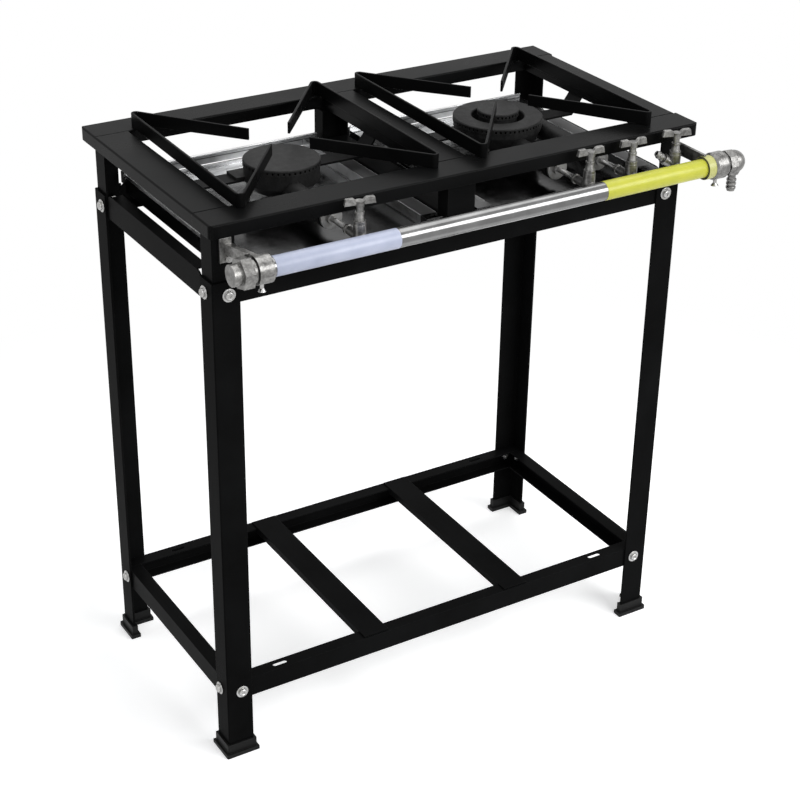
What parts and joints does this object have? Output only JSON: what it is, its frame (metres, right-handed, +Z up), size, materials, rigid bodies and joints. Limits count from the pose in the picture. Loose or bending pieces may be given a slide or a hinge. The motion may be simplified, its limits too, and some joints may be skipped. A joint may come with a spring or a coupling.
{
  "type": "stock pot range",
  "caption": "Low open-frame gas range with a bolted steel stand, two burner bays with pan bars, drip trays, a front gas pipe with butterfly valves and a slatted shelf.",
  "frame": {"origin": "on the floor, under the centre of the bounding box of the whole range", "axes": "+X to the user's right, +Y away from the user, +Z up"},
  "size_m": [0.797, 0.471, 0.824],
  "materials": {
    "top_enamel": "glossy black enamel on folded sheet",
    "pan_bar_enamel": "glossy black enamel on flat bar",
    "leg_enamel": "glossy black enamel on angle steel",
    "frame_enamel": "glossy black enamel on pressed steel",
    "hanger_steel": "thin black enamel, dull",
    "galvanised_sheet": "galvanised sheet, dull and mottled",
    "black_plastic": "matte black moulded plastic",
    "zinc_fasteners": "bright zinc plate",
    "burner_iron": "black painted cast iron, fine grained",
    "shutter_zinc": "dull zinc",
    "injector_metal": "machined",
    "pipe_steel": "polished plated steel tube",
    "cast_fittings": "rough grey casting"
  },
  "bodies": {
    "range_stand": {"top_front_rail": "top_enamel", "top_rear_rail": "top_enamel", "top_left_rail": "top_enamel", "top_centre_rail": "top_enamel", "top_right_rail": "top_enamel", "post_front_left": "frame_enamel", "post_front_right": "frame_enamel", "post_rear_left": "frame_enamel", "post_rear_right": "frame_enamel", "centre_post_front": "frame_enamel", "centre_post_rear": "frame_enamel", "left_bay_left_bar": "pan_bar_enamel", "left_bay_right_bar": "pan_bar_enamel", "right_bay_left_bar": "pan_bar_enamel", "right_bay_right_bar": "pan_bar_enamel", "tray_runners": "frame_enamel", "frame_front_rail": "frame_enamel", "frame_rear_rail": "frame_enamel", "frame_left_rail": "frame_enamel", "frame_right_rail": "frame_enamel", "leg_front_left": "leg_enamel", "leg_front_right": "leg_enamel", "leg_rear_left": "leg_enamel", "leg_rear_right": "leg_enamel", "foot_caps": "black_plastic", "shelf_front_rail": "frame_enamel", "shelf_rear_rail": "frame_enamel", "shelf_left_rail": "frame_enamel", "shelf_right_rail": "frame_enamel", "shelf_slat_left": "frame_enamel", "shelf_slat_right": "frame_enamel", "leg_bolts": "zinc_fasteners", "leg_nuts": "zinc_fasteners", "single_burner_hangers": "hanger_steel", "double_burner_hangers": "hanger_steel", "single_burner_body": "burner_iron", "double_burner_body": "burner_iron", "injectors": "injector_metal", "manifold_pipe": "pipe_steel", "end_plug": "cast_fittings", "left_pipe_bracket": "cast_fittings", "right_pipe_bracket": "cast_fittings", "bracket_screws": "zinc_fasteners", "inlet_elbow": "cast_fittings", "valve_bodies": "cast_fittings", "gland_nuts": "cast_fittings", "auxiliary_tail": "cast_fittings"},
    "left_tray": {"left_drip_tray": "galvanised_sheet"},
    "right_tray": {"right_drip_tray": "galvanised_sheet"},
    "single_cap": {"single_burner_cap": "burner_iron"},
    "double_ring": {"double_burner_ring": "burner_iron"},
    "inner_cap": {"double_burner_inner_cap": "burner_iron"},
    "shutter_1": {"air_shutter_1": "shutter_zinc"},
    "shutter_2": {"air_shutter_2": "shutter_zinc"},
    "shutter_3": {"air_shutter_3": "shutter_zinc"},
    "handle_1": {"valve_handle_1": "cast_fittings"},
    "handle_2": {"valve_handle_2": "cast_fittings"},
    "handle_3": {"valve_handle_3": "cast_fittings"},
    "handle_4": {"valve_handle_4": "cast_fittings"}
  },
  "joints": [
    {"name": "left_tray_slide", "type": "slide", "parent": "range_stand", "child": "left_tray", "axis": [0, 1, 0], "range_m": [0, 0.2]},
    {"name": "right_tray_slide", "type": "slide", "parent": "range_stand", "child": "right_tray", "axis": [0, 1, 0], "range_m": [0, 0.2]},
    {"name": "single_cap_lift", "type": "slide", "parent": "range_stand", "child": "single_cap", "axis": [0, 0, 1], "range_m": [0, 0.014]},
    {"name": "double_ring_lift", "type": "slide", "parent": "range_stand", "child": "double_ring", "axis": [0, 0, 1], "range_m": [0, 0.014]},
    {"name": "inner_cap_lift", "type": "slide", "parent": "range_stand", "child": "inner_cap", "axis": [0, 0, 1], "range_m": [0, 0.05]},
    {"name": "air_shutter_1_travel", "type": "slide", "parent": "range_stand", "child": "shutter_1", "axis": [0, -1, 0], "range_m": [-0.003, 0.005]},
    {"name": "air_shutter_2_travel", "type": "slide", "parent": "range_stand", "child": "shutter_2", "axis": [0, -1, 0], "range_m": [-0.003, 0.005]},
    {"name": "air_shutter_3_travel", "type": "slide", "parent": "range_stand", "child": "shutter_3", "axis": [0, -1, 0], "range_m": [-0.003, 0.005]},
    {"name": "valve_1_turn", "type": "hinge", "parent": "range_stand", "child": "handle_1", "pos_m": [-0.198, -0.1877, 0.805], "axis": [0, 0, 1], "range_deg": [0, 90]},
    {"name": "valve_2_turn", "type": "hinge", "parent": "range_stand", "child": "handle_2", "pos_m": [0.1555, -0.1877, 0.805], "axis": [0, 0, 1], "range_deg": [0, 90]},
    {"name": "valve_3_turn", "type": "hinge", "parent": "range_stand", "child": "handle_3", "pos_m": [0.226, -0.1877, 0.805], "axis": [0, 0, 1], "range_deg": [0, 90]},
    {"name": "valve_4_turn", "type": "hinge", "parent": "range_stand", "child": "handle_4", "pos_m": [0.3005, -0.1877, 0.805], "axis": [0, 0, 1], "range_deg": [0, 90]}
  ]
}
